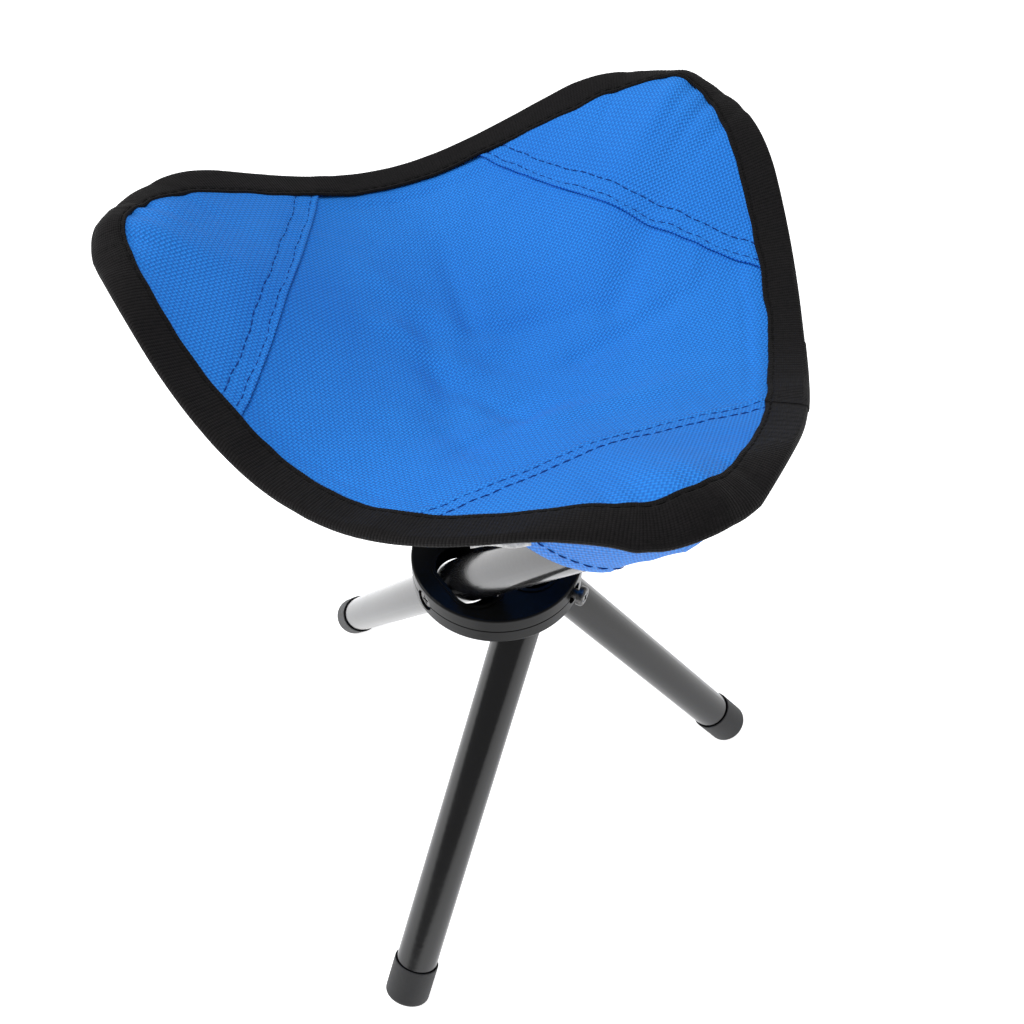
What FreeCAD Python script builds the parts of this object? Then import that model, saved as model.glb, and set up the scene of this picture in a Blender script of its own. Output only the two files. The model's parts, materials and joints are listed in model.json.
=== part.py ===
import FreeCAD, Part
import math
import os

os.makedirs("parts", exist_ok=True)
V = FreeCAD.Vector

# Folding three-legged camp stool.  Millimetres, +Z up, X and Y on the floor.
# The origin is on the floor, straight below the centre of the hub.

# Hub
HUB_RADIUS = 30.0
HUB_HALF = 6.0
HUB_EDGE = 0.9
SPLIT_EDGE = 0.3
LIP_WIDTH = 1.2
LIP_HEIGHT = 0.6

# Legs
LEG_TILT = 37.0
PIN_RADIUS_AT = 14.0
PIN_ANGLES = {"a": -30.0, "b": 90.0, "c": 210.0}
TUBE_RADIUS = 8.0
TUBE_WALL = 1.0
TUBE_UP = 150.0
TUBE_DOWN = 175.0

# Slots in the hub, measured along the tangent from the pivot
SLOT_RADIUS = 8.4
SLOT_LONG = 9.0
SLOT_SHORT = 2.0

# Pivot screws
SCREW_RADIUS = 1.8
SCREW_FIT = 0.06
SCREW_POINT_AT = 1.6
SCREW_POINT = 4.0
HEAD_RADIUS = 3.5
HEAD_HEIGHT = 2.4
HEAD_SEAT_AT = 27.0
COUNTERBORE_RADIUS = 3.9
BACKED_OUT = {"a": 4.6, "b": 0.0, "c": 0.0}

# Foot caps and top plugs
CAP_RADIUS = 8.7
CAP_LENGTH = 16.0
CAP_BASE = 3.0
CAP_ROUND = 1.6
CAP_LINER = 0.05
PLUG_GAP = 0.02
PLUG_HEAD = 2.0
PLUG_BARREL = 11.0
PLUG_FIT = 0.05

# The hub's middle plane is where the round edge of each sole just meets the floor
TILT = math.radians(LEG_TILT)
HUB_Z = (TUBE_DOWN + CAP_BASE - CAP_ROUND) * math.cos(TILT)
HUB_Z += (CAP_RADIUS - CAP_ROUND) * math.sin(TILT) + CAP_ROUND

# Seat sling
CORNER_REACH = 108.0
CORNER_WIDTH = 30.0
CORNER_ROUND = 3.6
MIDSIDE_REACH = 85.0
SIDE_POWER = 2.1
SEAT_MIDDLE_Z = 238.0
SAG_RISE = 29.9
CORNER_RISE = 14.66
CORNER_ROLL_FROM = 86.0
CORNER_ROLL = 0.028
BINDING_WIDTH = 10.0
BINDING_THICK = 2.6
FABRIC_THICK = 0.9
SEAM_REACH = 58.0
GAP = 0.3
HEM_MIDDLE = 76.0
HEM_SLANT = 16.0
POCKET_SIDE = 60.0
POCKET_CLEAR = 6.0
POCKET_TUCK = 100.0
POCKET_INSET = 1.2
LABEL_LENGTH = 14.0
LABEL_WIDTH = 6.0
LABEL_THICK = 0.4
LABEL_BEFORE_CORNER = 24.0
LABEL_REACH = 83.0
LABEL_DROP = 3.6

# Blocks that cut the sling's layers to their outlines run between these heights
CUT_LOW = 150.0
CUT_HIGH = 350.0
CUT_FAR = 125.0
GRID_REACH = 120.0
GRID_STEPS = 30
POCKET_GRID_STEPS = 24


def unit(angle):
    """A level direction at this many degrees round from +X."""
    a = math.radians(angle)
    return V(math.cos(a), math.sin(a), 0)


def save(shape, name):
    """Write one piece to its own STEP file."""
    shape.exportStep("parts/" + name + ".step")


def leg_frame(leg):
    """Pivot point, outward pin direction and upward tube direction of a leg."""
    out = unit(PIN_ANGLES[leg])
    round_hub = unit(PIN_ANGLES[leg] + 90.0)
    along = round_hub * math.sin(TILT) + V(0, 0, math.cos(TILT))
    pivot = out * PIN_RADIUS_AT + V(0, 0, HUB_Z)
    return pivot, out, along


def rod(start, along, radius, length):
    """A solid cylinder from a start point."""
    return Part.makeCylinder(radius, length, start, along)


def corner_angle(leg):
    """The direction, seen from above, of a leg's upper end."""
    pivot, out, along = leg_frame(leg)
    tip = pivot + along * TUBE_UP
    return math.degrees(math.atan2(tip.y, tip.x))


CORNERS = {leg: corner_angle(leg) for leg in PIN_ANGLES}


# ---------------------------------------------------------------- hub


def slot_outline(leg, low, high, radius, z, height):
    """A straight slot with round ends, along the tangent at a leg's pivot."""
    out = unit(PIN_ANGLES[leg])
    round_hub = unit(PIN_ANGLES[leg] + 90.0)
    centre = out * PIN_RADIUS_AT + V(0, 0, z)
    first = centre + round_hub * low
    last = centre + round_hub * high
    box = Part.makeBox(high - low, 2 * radius, height)
    box.translate(V(0, -radius, 0))
    box.rotate(V(0, 0, 0), V(0, 0, 1), PIN_ANGLES[leg] + 90.0)
    box.translate(first)
    ends = [Part.makeCylinder(radius, height, p) for p in (first, last)]
    return box.fuse(ends).removeSplitter()


def rim_edges(shape, z):
    """The outer rim edges of a hub half at one height."""
    found = []
    for edge in shape.Edges:
        box = edge.BoundBox
        if abs(box.ZMin - z) < 1e-6 and abs(box.ZMax - z) < 1e-6 and box.XLength > 50:
            found.append(edge)
    return found


def screw_hole(leg):
    """Bore and counterbore of one pivot screw, cut through both hub halves."""
    out = unit(PIN_ANGLES[leg])
    middle = V(0, 0, HUB_Z)
    bore = rod(middle + out * (SCREW_POINT_AT - 0.4), out, SCREW_RADIUS + SCREW_FIT, HUB_RADIUS)
    sink = rod(middle + out * HEAD_SEAT_AT, out, COUNTERBORE_RADIUS, HUB_RADIUS)
    return bore.fuse(sink)


def hub_half(side):
    """One moulded half of the hub; side is +1 for the upper half, -1 for the lower."""
    base = HUB_Z if side > 0 else HUB_Z - HUB_HALF
    disc = Part.makeCylinder(HUB_RADIUS, HUB_HALF, V(0, 0, base))
    face_z = HUB_Z + side * HUB_HALF
    disc = disc.makeFillet(HUB_EDGE, rim_edges(disc, face_z))
    disc = disc.makeChamfer(SPLIT_EDGE, rim_edges(disc, HUB_Z))
    low, high = (-SLOT_SHORT, SLOT_LONG) if side > 0 else (-SLOT_LONG, SLOT_SHORT)
    lip_z = face_z - 0.5 if side > 0 else face_z - LIP_HEIGHT
    for leg in PIN_ANGLES:
        lip = slot_outline(leg, low, high, SLOT_RADIUS + LIP_WIDTH, lip_z, LIP_HEIGHT + 0.5)
        disc = disc.fuse(lip)
    for leg in PIN_ANGLES:
        slot = slot_outline(leg, low, high, SLOT_RADIUS, base - 2, HUB_HALF + 4)
        disc = disc.cut(slot)
        disc = disc.cut(screw_hole(leg))
    return disc.removeSplitter()


def pivot_screw(leg):
    """A pan-head screw lying along the radius of the hub, with a cross recess."""
    out = unit(PIN_ANGLES[leg])
    shift = BACKED_OUT[leg]
    middle = V(0, 0, HUB_Z)
    point = Part.makeCone(0.4, SCREW_RADIUS, SCREW_POINT, middle + out * (SCREW_POINT_AT + shift), out)
    shank_at = SCREW_POINT_AT + SCREW_POINT + shift
    shank = rod(middle + out * shank_at, out, SCREW_RADIUS, HEAD_SEAT_AT + shift - shank_at)
    head_at = middle + out * (HEAD_SEAT_AT + shift)
    head = rod(head_at, out, HEAD_RADIUS, HEAD_HEIGHT)
    outer = [e for e in head.Edges if e.BoundBox.Center.sub(head_at).dot(out) > HEAD_HEIGHT - 0.1]
    head = head.makeFillet(1.0, outer[:1])
    for turn in (0.0, 90.0):
        arm = Part.makeBox(1.6, 0.8, 3.6, V(-0.8, -0.4, -1.8))
        arm.rotate(V(0, 0, 0), V(1, 0, 0), 20.0 + turn)
        arm.rotate(V(0, 0, 0), V(0, 0, 1), PIN_ANGLES[leg])
        arm.translate(head_at + out * HEAD_HEIGHT)
        head = head.cut(arm)
    return head.fuse([shank, point]).removeSplitter()


# ---------------------------------------------------------------- legs


def leg_tube(leg):
    """A straight round tube with a cross hole for its pivot screw."""
    pivot, out, along = leg_frame(leg)
    start = pivot - along * TUBE_DOWN
    whole = rod(start, along, TUBE_RADIUS, TUBE_DOWN + TUBE_UP)
    bore = rod(start - along, along, TUBE_RADIUS - TUBE_WALL, TUBE_DOWN + TUBE_UP + 2)
    hole = rod(pivot - out * 12, out, SCREW_RADIUS + SCREW_FIT, 24)
    return whole.cut(bore).cut(hole)


def foot_cap(leg):
    """A rubber cup over the lower end of a tube, with a rounded sole."""
    pivot, out, along = leg_frame(leg)
    sole = pivot - along * (TUBE_DOWN + CAP_BASE)
    cup = rod(sole, along, CAP_RADIUS, CAP_LENGTH)
    low = [e for e in cup.Edges if (e.BoundBox.Center - sole).dot(along) < 0.1]
    cup = cup.makeFillet(CAP_ROUND, low[:1])
    high = [e for e in cup.Edges if (e.BoundBox.Center - sole).dot(along) > CAP_LENGTH - 0.1]
    cup = cup.makeFillet(0.3, high[:1])
    pocket = rod(sole + along * (CAP_BASE - PLUG_GAP), along, TUBE_RADIUS + CAP_LINER, CAP_LENGTH)
    mouth = Part.makeCone(
        TUBE_RADIUS + CAP_LINER, TUBE_RADIUS + 0.35, 0.8, sole + along * (CAP_LENGTH - 0.79), along
    )
    return cup.cut(pocket.fuse(mouth))


def top_plug(leg):
    """A plug closing the upper end of a tube, inside the seat's corner pocket."""
    pivot, out, along = leg_frame(leg)
    end = pivot + along * (TUBE_UP + PLUG_GAP)
    head = rod(end, along, TUBE_RADIUS, PLUG_HEAD)
    top = [e for e in head.Edges if (e.BoundBox.Center - end).dot(along) > PLUG_HEAD - 0.1]
    head = head.makeFillet(0.8, top[:1])
    barrel = rod(end - along * PLUG_BARREL, along, TUBE_RADIUS - TUBE_WALL - PLUG_FIT, PLUG_BARREL)
    hollow = rod(end - along * (PLUG_BARREL + 1), along, TUBE_RADIUS - TUBE_WALL - 1.6, PLUG_BARREL)
    return head.fuse(barrel).removeSplitter().cut(hollow)


# ---------------------------------------------------------------- seat


def local(leg, x, y):
    """Distance along a corner's direction and sideways from it."""
    u = unit(CORNERS[leg])
    return x * u.x + y * u.y, -x * u.y + y * u.x


def seat_z(x, y):
    """Height of the underside of the sling: low in the middle, high at the corners."""
    r = math.hypot(x, y)
    turn = math.radians(math.degrees(math.atan2(y, x)) - CORNERS["a"])
    z = SEAT_MIDDLE_Z + SAG_RISE * (r / 100) ** 1.2
    z += CORNER_RISE * (r / 100) ** 2 * math.cos(3 * turn)
    for leg in CORNERS:
        d, w = local(leg, x, y)
        z -= CORNER_ROLL * max(0.0, d - CORNER_ROLL_FROM) ** 2
    return z


def outline_points(inset):
    """The sling's edge seen from above, moved inwards by inset."""
    points = []
    legs = sorted(CORNERS, key=lambda k: CORNERS[k])
    for leg in legs:
        turn = CORNERS[leg]
        u, t = unit(turn), unit(turn + 90)
        v, s = unit(turn + 120), unit(turn + 210)
        half = CORNER_WIDTH / 2
        for k in range(-4, 4):
            f = k / 4.0
            points.append(u * (CORNER_REACH - CORNER_ROUND * f * f) + t * (half * f))
        start = u * (CORNER_REACH - CORNER_ROUND) + t * half
        end = v * (CORNER_REACH - CORNER_ROUND) - s * half
        middle = unit(turn + 60) * MIDSIDE_REACH
        push = middle - (start + end) * 0.5
        for k in range(18):
            f = k / 18.0
            points.append(start * (1 - f) + end * f + push * (1 - abs(2 * f - 1) ** SIDE_POWER))
    if inset == 0:
        return points
    moved = []
    for i, p in enumerate(points):
        along = points[(i + 1) % len(points)] - points[i - 1]
        inward = V(-along.y, along.x, 0).normalize()
        moved.append(p + inward * inset)
    return moved


def outline_prism(inset, low, high):
    """An upright prism inside the sling's edge."""
    points = [V(p.x, p.y, low) for p in outline_points(inset)]
    curve = Part.BSplineCurve()
    curve.interpolate(Points=points, PeriodicFlag=True)
    face = Part.Face(Part.Wire([curve.toShape()]))
    return face.extrude(V(0, 0, high - low))


def sheet_solid(height_at, thick, steps, place):
    """A curved slab: height_at gives its underside over a square grid."""
    rows = []
    for i in range(steps + 1):
        row = []
        for j in range(steps + 1):
            x, y = place(-1 + 2.0 * i / steps, -1 + 2.0 * j / steps)
            row.append(V(x, y, height_at(x, y)))
        rows.append(row)
    surface = Part.BSplineSurface()
    surface.interpolate(rows)
    return surface.toShape().extrude(V(0, 0, thick))


def square(i, j):
    """Grid place over the whole sling."""
    return i * GRID_REACH, j * GRID_REACH


def strip(leg, near, far, side):
    """An upright block over part of a corner, near to far along its direction."""
    block = Part.makeBox(far - near, 2 * side, CUT_HIGH - CUT_LOW, V(near, -side, CUT_LOW))
    block.rotate(V(0, 0, 0), V(0, 0, 1), CORNERS[leg])
    return block


def pocket_z(leg, x, y):
    """Height of a corner's lower layer, which passes under the leg's end."""
    d, w = local(leg, x, y)
    pivot, out, along = leg_frame(leg)
    tip = pivot + along * (TUBE_UP + PLUG_HEAD)
    tip_d, tip_w = local(leg, tip.x, tip.y)
    run_d, run_w = local(leg, along.x, along.y)
    back = (tip_d - d) / run_d
    under = tip.z - back * along.z - TUBE_RADIUS / run_d - POCKET_CLEAR
    under = min(under, tip.z - 12.5)
    edge = seat_z(x, y) - FABRIC_THICK - 1.4
    aside = abs(w - tip_w + back * run_w)
    half = max(12.0, CORNER_REACH + 14 - d)
    share = min(1.0, (aside / half) ** 1.15)
    tuck = min(1.0, max(0.0, (d - POCKET_TUCK) / 6.0))
    return under + (edge - under) * max(share, tuck)


def corner_patch(leg, slab, inside):
    """The upper layer of one corner, outside its seam line."""
    return slab.common(inside).common(strip(leg, SEAM_REACH + GAP, 130, 90))


def pocket(leg):
    """The lower layer of one corner, from its slanted hem to the binding."""
    u, t = unit(CORNERS[leg]), unit(CORNERS[leg] + 90)

    def place(i, j):
        """Grid place over this corner only."""
        d = 80 + 34 * i
        w = 75 * j
        p = u * d + t * w
        return p.x, p.y

    slab = sheet_solid(lambda x, y: pocket_z(leg, x, y), FABRIC_THICK, POCKET_GRID_STEPS, place)
    hem = [
        u * (HEM_MIDDLE - HEM_SLANT) + t * POCKET_SIDE,
        u * HEM_MIDDLE,
        u * (HEM_MIDDLE - HEM_SLANT) - t * POCKET_SIDE,
        u * CUT_FAR - t * POCKET_SIDE,
        u * CUT_FAR + t * POCKET_SIDE,
    ]
    hem = [V(p.x, p.y, CUT_LOW) for p in hem]
    cutter = Part.Face(Part.makePolygon(hem + hem[:1])).extrude(V(0, 0, CUT_HIGH - CUT_LOW))
    return slab.common(outline_prism(POCKET_INSET, CUT_LOW, CUT_HIGH)).common(cutter)


def seat_panel(slab, inside):
    """The middle of the sling, between the three corner seams."""
    panel = slab.common(inside)
    for leg in CORNERS:
        panel = panel.cut(strip(leg, SEAM_REACH, 140, 120))
    return panel


def edge_binding():
    """The tape folded over the sling's edge, one closed loop."""
    low = (BINDING_THICK - FABRIC_THICK) / 2
    slab = sheet_solid(lambda x, y: seat_z(x, y) - low, BINDING_THICK, GRID_STEPS, square)
    hole = outline_prism(BINDING_WIDTH, CUT_LOW - 10, CUT_HIGH + 10)
    ring = outline_prism(0, CUT_LOW, CUT_HIGH).cut(hole)
    return slab.common(ring)


def care_label():
    """A small blank tag hanging below the edge near one corner."""
    turn = CORNERS["c"] - LABEL_BEFORE_CORNER
    u = unit(turn)
    at = u * LABEL_REACH
    top = seat_z(at.x, at.y) - LABEL_DROP
    tag = Part.makeBox(LABEL_THICK, LABEL_LENGTH, LABEL_WIDTH, V(0, -LABEL_LENGTH / 2, -LABEL_WIDTH))
    tag.rotate(V(0, 0, 0), V(0, 0, 1), turn)
    tag.translate(V(at.x, at.y, top))
    return tag


save(hub_half(+1), "hub_upper")
save(hub_half(-1), "hub_lower")
fabric = sheet_solid(seat_z, FABRIC_THICK, GRID_STEPS, square)
field = outline_prism(BINDING_WIDTH + GAP, CUT_LOW, CUT_HIGH)
save(seat_panel(fabric, field), "seat_panel")
save(edge_binding(), "edge_binding")
save(care_label(), "care_label")
for leg in PIN_ANGLES:
    save(leg_tube(leg), "leg_tube_" + leg)
    save(foot_cap(leg), "foot_cap_" + leg)
    save(top_plug(leg), "top_plug_" + leg)
    save(pivot_screw(leg), "pivot_screw_" + leg)
    save(corner_patch(leg, fabric, field), "corner_patch_" + leg)
    save(pocket(leg), "pocket_" + leg)
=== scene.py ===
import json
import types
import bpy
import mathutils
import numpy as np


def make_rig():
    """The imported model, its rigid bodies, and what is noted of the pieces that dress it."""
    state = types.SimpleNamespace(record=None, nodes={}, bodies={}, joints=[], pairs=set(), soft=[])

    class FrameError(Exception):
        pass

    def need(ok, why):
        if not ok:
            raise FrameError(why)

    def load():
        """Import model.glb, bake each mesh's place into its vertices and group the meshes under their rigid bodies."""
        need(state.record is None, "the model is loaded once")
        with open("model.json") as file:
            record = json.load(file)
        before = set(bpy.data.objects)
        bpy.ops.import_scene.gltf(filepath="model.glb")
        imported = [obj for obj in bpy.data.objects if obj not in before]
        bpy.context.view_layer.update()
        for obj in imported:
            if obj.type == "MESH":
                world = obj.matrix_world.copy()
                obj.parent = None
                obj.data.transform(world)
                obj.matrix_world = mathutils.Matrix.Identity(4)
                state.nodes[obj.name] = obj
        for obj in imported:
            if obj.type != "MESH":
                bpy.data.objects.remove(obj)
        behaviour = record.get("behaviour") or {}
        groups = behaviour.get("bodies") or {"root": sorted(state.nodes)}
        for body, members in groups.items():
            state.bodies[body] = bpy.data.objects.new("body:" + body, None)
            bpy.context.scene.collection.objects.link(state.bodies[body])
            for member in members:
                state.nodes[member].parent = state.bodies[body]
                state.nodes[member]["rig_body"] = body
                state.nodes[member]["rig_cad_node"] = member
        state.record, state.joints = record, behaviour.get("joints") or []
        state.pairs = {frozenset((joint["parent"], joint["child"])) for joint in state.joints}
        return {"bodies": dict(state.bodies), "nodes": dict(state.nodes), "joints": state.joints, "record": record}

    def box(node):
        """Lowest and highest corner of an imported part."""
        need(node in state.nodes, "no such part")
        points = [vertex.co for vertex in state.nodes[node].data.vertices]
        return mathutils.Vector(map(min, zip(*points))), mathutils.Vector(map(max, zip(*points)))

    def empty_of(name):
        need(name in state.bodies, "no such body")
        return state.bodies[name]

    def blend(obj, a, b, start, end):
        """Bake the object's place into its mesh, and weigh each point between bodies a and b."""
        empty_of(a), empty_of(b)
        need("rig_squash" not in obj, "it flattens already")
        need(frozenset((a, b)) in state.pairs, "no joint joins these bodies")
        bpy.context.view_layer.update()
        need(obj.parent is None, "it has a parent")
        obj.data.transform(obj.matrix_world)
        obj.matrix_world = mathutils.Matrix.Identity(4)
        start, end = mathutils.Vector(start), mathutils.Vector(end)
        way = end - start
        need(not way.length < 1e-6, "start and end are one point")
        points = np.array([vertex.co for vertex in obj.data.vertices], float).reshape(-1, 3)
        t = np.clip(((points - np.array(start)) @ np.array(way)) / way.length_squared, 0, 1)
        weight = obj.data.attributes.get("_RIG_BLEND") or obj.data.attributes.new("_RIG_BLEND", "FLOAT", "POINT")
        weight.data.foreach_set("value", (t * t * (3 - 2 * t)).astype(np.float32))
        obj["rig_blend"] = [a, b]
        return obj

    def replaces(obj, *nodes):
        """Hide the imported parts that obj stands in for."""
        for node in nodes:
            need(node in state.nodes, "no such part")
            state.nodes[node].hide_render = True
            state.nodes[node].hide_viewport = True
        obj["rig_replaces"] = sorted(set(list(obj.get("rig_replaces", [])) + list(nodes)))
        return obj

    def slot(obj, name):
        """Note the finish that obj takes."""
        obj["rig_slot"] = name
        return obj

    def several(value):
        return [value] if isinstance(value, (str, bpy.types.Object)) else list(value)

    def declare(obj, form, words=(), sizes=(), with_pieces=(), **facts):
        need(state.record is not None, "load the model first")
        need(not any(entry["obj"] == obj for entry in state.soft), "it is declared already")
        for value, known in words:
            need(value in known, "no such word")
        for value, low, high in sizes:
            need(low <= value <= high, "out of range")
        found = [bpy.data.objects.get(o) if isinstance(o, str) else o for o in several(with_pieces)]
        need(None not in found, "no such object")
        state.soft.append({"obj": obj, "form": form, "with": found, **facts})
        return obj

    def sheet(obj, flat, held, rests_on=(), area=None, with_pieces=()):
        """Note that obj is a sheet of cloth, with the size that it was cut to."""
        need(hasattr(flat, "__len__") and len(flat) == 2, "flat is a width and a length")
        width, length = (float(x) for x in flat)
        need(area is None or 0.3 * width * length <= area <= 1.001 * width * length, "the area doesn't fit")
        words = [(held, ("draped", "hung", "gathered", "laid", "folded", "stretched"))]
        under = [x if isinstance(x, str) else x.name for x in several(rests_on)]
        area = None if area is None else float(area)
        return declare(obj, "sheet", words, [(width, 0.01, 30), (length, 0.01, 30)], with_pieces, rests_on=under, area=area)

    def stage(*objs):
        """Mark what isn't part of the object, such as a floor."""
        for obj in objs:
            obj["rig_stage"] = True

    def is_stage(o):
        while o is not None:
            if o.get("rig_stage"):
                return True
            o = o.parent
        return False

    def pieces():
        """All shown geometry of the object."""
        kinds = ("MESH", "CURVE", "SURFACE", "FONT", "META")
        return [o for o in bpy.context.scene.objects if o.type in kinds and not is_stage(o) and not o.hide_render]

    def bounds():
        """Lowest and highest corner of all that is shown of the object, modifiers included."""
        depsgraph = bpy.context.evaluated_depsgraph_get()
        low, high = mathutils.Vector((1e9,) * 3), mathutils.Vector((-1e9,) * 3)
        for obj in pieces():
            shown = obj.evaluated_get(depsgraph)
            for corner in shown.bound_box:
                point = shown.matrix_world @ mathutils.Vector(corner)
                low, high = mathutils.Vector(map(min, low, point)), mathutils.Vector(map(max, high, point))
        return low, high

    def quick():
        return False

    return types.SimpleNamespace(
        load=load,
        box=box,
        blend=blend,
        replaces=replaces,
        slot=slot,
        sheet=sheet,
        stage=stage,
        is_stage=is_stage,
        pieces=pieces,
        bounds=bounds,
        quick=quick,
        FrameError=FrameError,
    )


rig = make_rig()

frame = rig.load()
cad_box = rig.bounds()

import json
import math
import random

import bmesh
import bpy
from mathutils import Vector, noise
from mathutils.bvhtree import BVHTree

MM = 0.001
LEGS = "abc"
NEXT = {"a": "b", "b": "c", "c": "a"}

# ------------------------------------------------------------------ shape of the sling
# Lengths are millimetres.  d is the distance from the middle along a corner's direction,
# w the distance sideways from it, anticlockwise positive seen from above.

# These repeat the CAD sling's own driving sizes; its reaches are read from the CAD nodes.
CORNER_WIDTH = 30.0
CORNER_ROUND = 3.6
CORNER_ROLL_FROM = 86.0
CORNER_ROLL = 0.028
SIDE_POWER = 2.1
BINDING = 10.0

# The seams bow outwards by SEAM_BOW at SEAM_BOW_AT; ROWS are the stitches' distances from them.
SEAM_BOW = 2.5
SEAM_BOW_AT = 55.0
ROWS = (2.0, 6.0)
CLOTH = 0.7
SEAM_ALLOWANCE = 9.0

# One broad fold over each leg's end.  It starts on the leg's own line, at a share of the
# corner's reach, and runs in to the middle of the corner's seam.
FOLD_OUT = 0.95
FOLD_FALL = 9.0
FOLD_HIGH = 3.5
FOLD_LOW = 0.8

# Every fold and crease fades out over FOLD_FADE past its ends, and is nothing beyond FOLD_SPREAD
# times its fall-off to the side.
FOLD_FADE = 12
FOLD_SPREAD = 2.6

# The tape rides up this far to each side of a seam's end
SEAM_LIFT_REACH = 6.0


def middle_of(node):
    low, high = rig.box(node)
    return (Vector(low) + Vector(high)) / 2


FIRST_TURN = math.degrees(math.atan2(middle_of("top_plug_a").y, middle_of("top_plug_a").x))
TURN = {"a": FIRST_TURN, "b": FIRST_TURN + 120, "c": FIRST_TURN + 240}
TIP = {k: middle_of("top_plug_" + k) / MM for k in LEGS}


def unit(turn):
    a = math.radians(turn)
    return Vector((math.cos(a), math.sin(a), 0))


U = {k: unit(TURN[k]) for k in LEGS}
T = {k: unit(TURN[k] + 90) for k in LEGS}
SIDE_TURN = {k: TURN[k] + 60 for k in LEGS}


def reach_of(node, way):
    """How far a CAD node stands out from the middle in a direction."""
    return max(v.co.dot(way) for v in bpy.data.objects[node].data.vertices) / MM


def cad_height(node, place):
    """Height of a CAD node's upper face at a place."""
    mesh = bpy.data.objects[node].data
    tree = BVHTree.FromPolygons([v.co[:] for v in mesh.vertices], [f.vertices[:] for f in mesh.polygons])
    hit = tree.ray_cast(Vector((place.x * MM, place.y * MM, 1.0)), Vector((0, 0, -1)))[0]
    return hit.z / MM


CORNER_REACH = {k: reach_of("edge_binding", U[k]) for k in LEGS}
SIDE_REACH = {k: reach_of("edge_binding", unit(SIDE_TURN[k])) for k in LEGS}
SEAM = {k: -reach_of("corner_patch_" + k, -U[k]) for k in LEGS}

# The cloth rises from its middle as rise * r^1.2 + corner rise * r^2 * cos(3 * turn), r in
# shares of 100 mm; both rises follow from the CAD cloth's height at three places.
SIDE_AT = 70.0
CORNER_AT = 80.0
MIDDLE_Z = cad_height("seat_panel", Vector((0, 0, 0)))
SIDE_UP = cad_height("seat_panel", unit(SIDE_TURN["a"]) * SIDE_AT) - MIDDLE_Z
CORNER_UP = cad_height("corner_patch_a", U["a"] * CORNER_AT) - MIDDLE_Z


def rises():
    side, corner = SIDE_AT / 100, CORNER_AT / 100
    total = corner ** 1.2 * side ** 2 + side ** 1.2 * corner ** 2
    rise = (CORNER_UP * side ** 2 + SIDE_UP * corner ** 2) / total
    corner_rise = (CORNER_UP * side ** 1.2 - SIDE_UP * corner ** 1.2) / total
    return rise, corner_rise


RISE, CORNER_RISE = rises()


def scaled(k, fold):
    """A fold given in shares of corner k, in millimetres."""
    places = [(along * CORNER_REACH[k], across * CORNER_WIDTH / 2) for along, across in fold[:2]]
    return (*places, *fold[2:])


def corner_creases():
    """A few narrow creases that fan in from each corner's tip."""
    draw = random.Random(7)
    found = {}
    for k in LEGS:
        found[k] = []
        for number in range(5):
            across = (number - 2) * 0.6 + draw.uniform(-0.2, 0.2)
            start, end = (0.93, across), (draw.uniform(0.68, 0.82), across * 0.8)
            depth = draw.uniform(-1.6, -0.7)
            minus = draw.uniform(1.6, 2.6)
            plus = draw.uniform(1.8, 3.2)
            found[k].append(scaled(k, (start, end, minus, plus, depth, depth * 0.2)))
    return found


def middle_creases():
    """Soft creases across the middle, left from folding, each in its own place and direction."""
    draw = random.Random(11)
    found = []
    for number in range(12):
        start = unit(draw.uniform(0, 360)) * draw.uniform(10, 46)
        end = start + unit(draw.uniform(0, 360)) * draw.uniform(26, 44)
        height = draw.uniform(1.0, 1.7) * draw.choice((-1, -1, 1))
        found.append(((start.x, start.y), (end.x, end.y), draw.uniform(3.4, 5.2), height))
    return found


CREASES = corner_creases()
MIDDLE_CREASES = middle_creases()


def local(k, x, y):
    return x * U[k].x + y * U[k].y, x * T[k].x + y * T[k].y


# The upward direction of each leg
LEG_RUN = {k: (TIP[k] - middle_of("foot_cap_" + k) / MM).normalized() for k in LEGS}


def leg_fold(k):
    """The broad fold over leg k's end, kept within the corner's width at its outer end."""
    tip_d, tip_w = local(k, TIP[k].x, TIP[k].y)
    run_d, run_w = local(k, LEG_RUN[k].x, LEG_RUN[k].y)
    out = CORNER_REACH[k] * FOLD_OUT
    aside = tip_w + (out - tip_d) * run_w / run_d
    aside = max(-CORNER_WIDTH / 2, min(CORNER_WIDTH / 2, aside))
    return (out, aside), (SEAM[k], 0.0), FOLD_FALL, FOLD_FALL, FOLD_HIGH, FOLD_LOW


BROAD = {k: leg_fold(k) for k in LEGS}


def smooth(x, low, high):
    t = min(1.0, max(0.0, (x - low) / (high - low)))
    return t * t * (3 - 2 * t)


def fold_height(p, q, fold):
    """Height of one fold or crease at the place (p, q) of the plane its ends are given in."""
    (p0, q0), (p1, q1), minus, plus, first, second = fold
    along = (p1 - p0, q1 - q0)
    length = math.hypot(*along)
    run = ((p - p0) * along[0] + (q - q0) * along[1]) / length
    off = ((p - p0) * along[1] - (q - q0) * along[0]) / length
    reach = plus if off > 0 else minus
    if run < -FOLD_FADE or run > length + FOLD_FADE or abs(off) > FOLD_SPREAD * reach:
        return 0.0
    share = min(1.0, max(0.0, run / length))
    fade = smooth(run, -FOLD_FADE, 0) * (1 - smooth(run, length * 0.75, length + FOLD_FADE))
    return (first + (second - first) * share) * fade * math.exp(-((off / reach) ** 2))


def seat_z(x, y):
    """Height of the cloth's upper face, apart from the narrow creases."""
    r = math.hypot(x, y)
    turn = math.atan2(y, x) - math.radians(FIRST_TURN)
    z = MIDDLE_Z + RISE * (r / 100) ** 1.2
    z += CORNER_RISE * (r / 100) ** 2 * math.cos(3 * turn)
    for k in LEGS:
        d, w = local(k, x, y)
        z -= CORNER_ROLL * max(0.0, d - CORNER_ROLL_FROM) ** 2
        if d > 30:
            z += fold_height(d, w, BROAD[k])
    return z


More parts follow.
